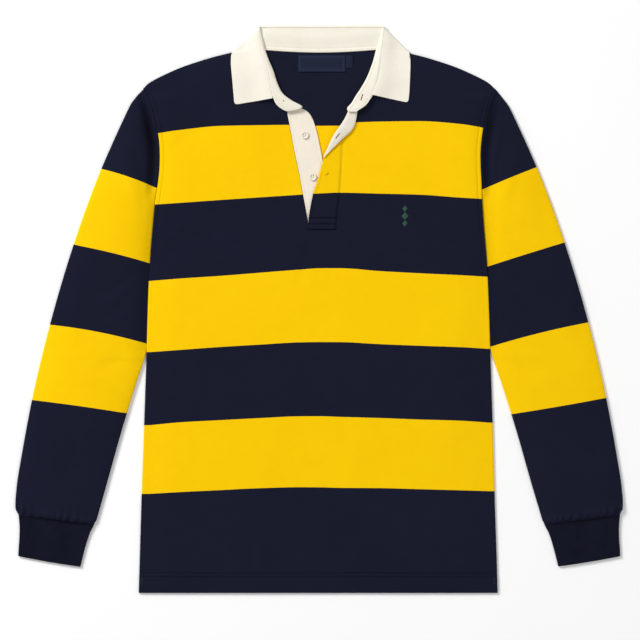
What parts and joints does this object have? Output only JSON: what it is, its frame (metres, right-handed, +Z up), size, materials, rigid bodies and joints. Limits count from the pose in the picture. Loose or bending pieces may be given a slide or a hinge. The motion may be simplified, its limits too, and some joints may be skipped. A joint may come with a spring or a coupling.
{
  "type": "long-sleeved rugby shirt",
  "caption": "Long-sleeved rugby shirt laid flat, face up: hooped body and sleeves, cream collar folded over the shoulders, open placket and rib cuffs.",
  "frame": {"origin": "on the surface that the shirt lies on, under the middle of its outline", "axes": "+X to the viewer's right across the sleeves, +Y from the hem to the collar, +Z up from the surface through the layers"},
  "size_m": [0.8348, 0.7821, 0.0081],
  "materials": {
    "body_jersey": "navy cotton jersey with broad yellow hoops, matt",
    "sleeve_jersey": "navy cotton jersey with broad yellow hoops, matt",
    "cuff_rib": "navy rib knit, matt",
    "collar_twill": "cream cotton twill, matt",
    "placket_twill": "cream cotton twill, matt",
    "button": "cream four-hole button, satin",
    "woven_label": "dark blue woven label, slight sheen"
  },
  "bodies": {
    "root": {"back": "body_jersey", "front": "body_jersey", "sleeve_left": "sleeve_jersey", "sleeve_right": "sleeve_jersey", "cuff_left": "cuff_rib", "cuff_right": "cuff_rib", "collar_stand": "collar_twill", "collar_leaf": "collar_twill", "placket_under": "placket_twill", "placket_facing": "placket_twill", "button_collar": "button", "button_upper": "button", "button_lower": "button", "neck_label": "woven_label", "size_label": "woven_label"}
  },
  "joints": []
}
